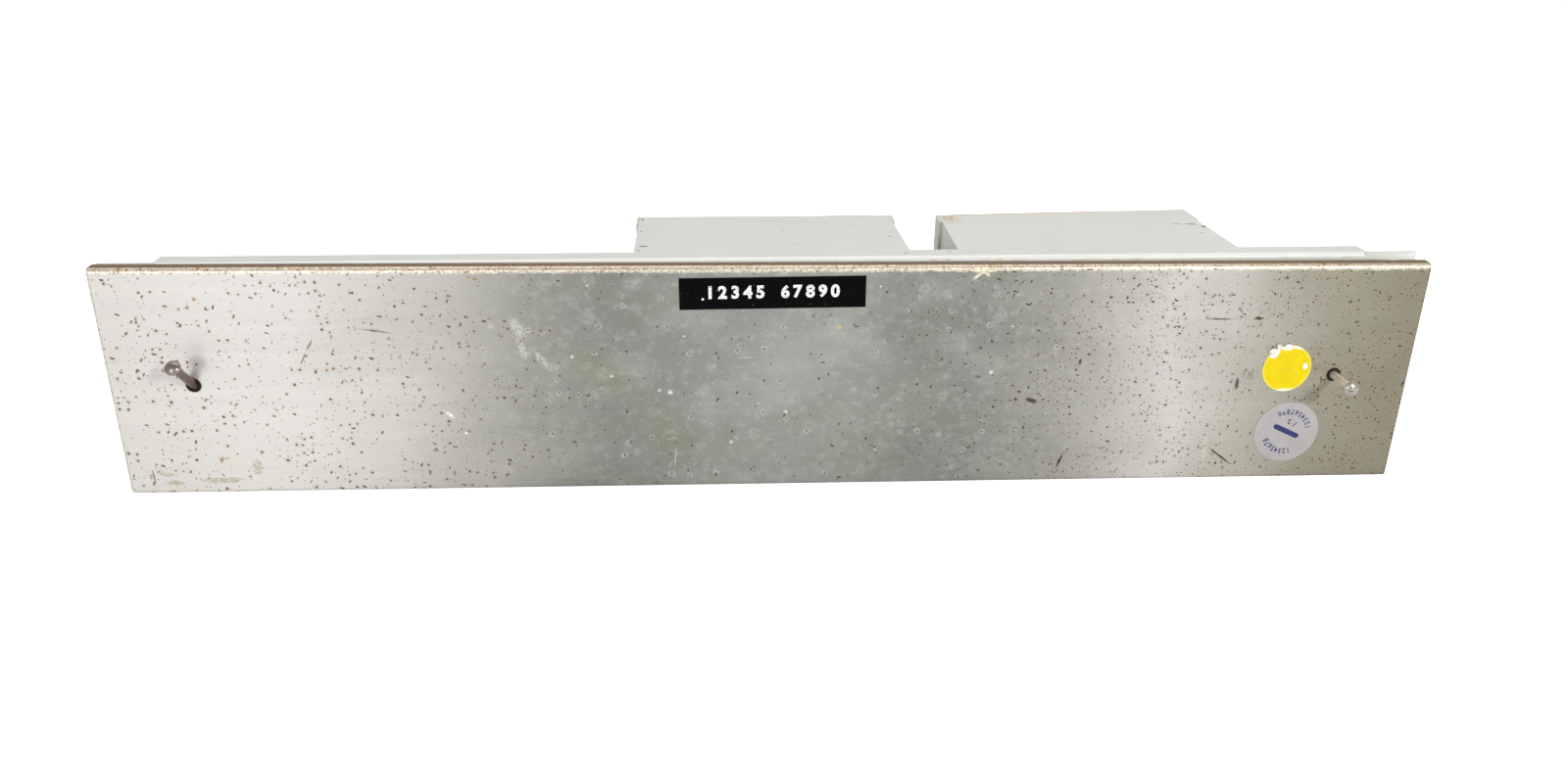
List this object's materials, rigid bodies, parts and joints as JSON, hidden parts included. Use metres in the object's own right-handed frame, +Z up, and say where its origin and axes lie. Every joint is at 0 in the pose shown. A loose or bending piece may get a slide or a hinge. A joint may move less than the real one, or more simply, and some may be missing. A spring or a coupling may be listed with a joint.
{
  "type": "rack relay panel",
  "caption": "Two-unit rack panel: a brushed steel dress cover on captive screws in front of a painted chassis whose rear housings hold open relays.",
  "frame": {"origin": "on the surface the chassis stands on, mid-width, at the back face of the rack panel", "axes": "+X to the right seen from the front, -Y to the front, +Z up"},
  "size_m": [0.4835, 0.0928, 0.0891],
  "materials": {
    "grey_paint": "light warm grey enamel, smooth, semi-gloss",
    "cover_steel": "horizontally brushed, stained, with small rust specks",
    "screw_steel": "turned, dulled, rusty towards the thread",
    "plated_steel": "zinc plated",
    "label": "black embossing tape",
    "yellow_paper": "yellow, torn at the top",
    "lilac_paper": "pale lilac grey",
    "rubber": "black",
    "board": "brown laminated board",
    "strip_plastic": "black moulding",
    "core_iron": "soft iron, plated",
    "winding": "taped winding",
    "contact_brass": "spring brass",
    "insulator": "tan laminate"
  },
  "bodies": {
    "chassis": {"clinch_nuts": "plated_steel", "core_nuts": "plated_steel", "left_cable_grommet": "rubber", "left_housing": "grey_paint", "left_nut_strap": "plated_steel", "left_rear_cover": "grey_paint", "left_relay_plate": "board", "left_terminal_strip": "strip_plastic", "plate_screws": "plated_steel", "plate_standoffs": "plated_steel", "rack_panel": "grey_paint", "rear_cover_screws": "plated_steel", "relay_1_coil": "winding", "relay_1_contact_block": "insulator", "relay_1_core": "core_iron", "relay_1_frame": "core_iron", "relay_1_spring_set": "contact_brass", "relay_2_coil": "winding", "relay_2_contact_block": "insulator", "relay_2_core": "core_iron", "relay_2_frame": "core_iron", "relay_2_spring_set": "contact_brass", "relay_3_coil": "winding", "relay_3_contact_block": "insulator", "relay_3_core": "core_iron", "relay_3_frame": "core_iron", "relay_3_spring_set": "contact_brass", "relay_4_coil": "winding", "relay_4_contact_block": "insulator", "relay_4_core": "core_iron", "relay_4_frame": "core_iron", "relay_4_spring_set": "contact_brass", "right_cable_grommet": "rubber", "right_housing": "grey_paint", "right_nut_strap": "plated_steel", "right_rear_cover": "grey_paint", "right_relay_plate": "board", "right_terminal_strip": "strip_plastic", "rivets": "plated_steel", "terminal_screws": "plated_steel"},
    "left_washer": {"left_retaining_washer": "screw_steel"},
    "left_screw": {"left_cover_screw": "screw_steel"},
    "right_washer": {"right_retaining_washer": "screw_steel"},
    "right_screw": {"right_cover_screw": "screw_steel"},
    "cover": {"front_cover": "cover_steel", "label_tape": "label", "dot_sticker": "yellow_paper", "tag_sticker": "lilac_paper"},
    "relay_1_armature": {"relay_1_armature": "core_iron", "relay_1_contact_carrier": "insulator", "relay_1_moving_contacts": "contact_brass"},
    "relay_2_armature": {"relay_2_armature": "core_iron", "relay_2_contact_carrier": "insulator", "relay_2_moving_contacts": "contact_brass"},
    "relay_3_armature": {"relay_3_armature": "core_iron", "relay_3_contact_carrier": "insulator", "relay_3_moving_contacts": "contact_brass"},
    "relay_4_armature": {"relay_4_armature": "core_iron", "relay_4_contact_carrier": "insulator", "relay_4_moving_contacts": "contact_brass"}
  },
  "joints": [
    {"name": "cover_lift_off", "type": "slide", "parent": "chassis", "child": "cover", "axis": [0, -1, 0], "range_m": [0, 0.12]},
    {"name": "left_screw_tilt", "type": "hinge", "parent": "cover", "child": "left_washer", "pos_m": [-0.21279, -0.00734, 0.04496], "axis": [0.9973, -0.0139, 0.0727], "range_deg": [0, 43]},
    {"name": "left_screw_turn", "type": "hinge", "parent": "left_washer", "child": "left_screw", "pos_m": [-0.21279, -0.00734, 0.04496], "axis": [-0.0599, -0.7288, 0.6821], "continuous": true},
    {"name": "right_screw_slide", "type": "slide", "parent": "cover", "child": "right_washer", "axis": [0.014, 0.9999, 0], "range_m": [-0.006, 0.0124]},
    {"name": "right_screw_turn", "type": "hinge", "parent": "right_washer", "child": "right_screw", "pos_m": [0.21117, -0.01326, 0.04414], "axis": [-0.014, -0.9999, 0], "continuous": true},
    {"name": "relay_1_pull_in", "type": "hinge", "parent": "chassis", "child": "relay_1_armature", "pos_m": [-0.02685, 0.0056, 0.0502], "axis": [1, 0, 0], "range_deg": [0, 2.8], "stiffness_Nm_per_rad": 0.05, "springref_deg": -5.73},
    {"name": "relay_2_pull_in", "type": "hinge", "parent": "chassis", "child": "relay_2_armature", "pos_m": [0.02115, 0.0056, 0.0502], "axis": [1, 0, 0], "range_deg": [0, 2.8], "stiffness_Nm_per_rad": 0.05, "springref_deg": -5.73},
    {"name": "relay_3_pull_in", "type": "hinge", "parent": "chassis", "child": "relay_3_armature", "pos_m": [0.097, 0.0056, 0.0502], "axis": [1, 0, 0], "range_deg": [0, 2.8], "stiffness_Nm_per_rad": 0.05, "springref_deg": -5.73},
    {"name": "relay_4_pull_in", "type": "hinge", "parent": "chassis", "child": "relay_4_armature", "pos_m": [0.145, 0.0056, 0.0502], "axis": [1, 0, 0], "range_deg": [0, 2.8], "stiffness_Nm_per_rad": 0.05, "springref_deg": -5.73}
  ]
}
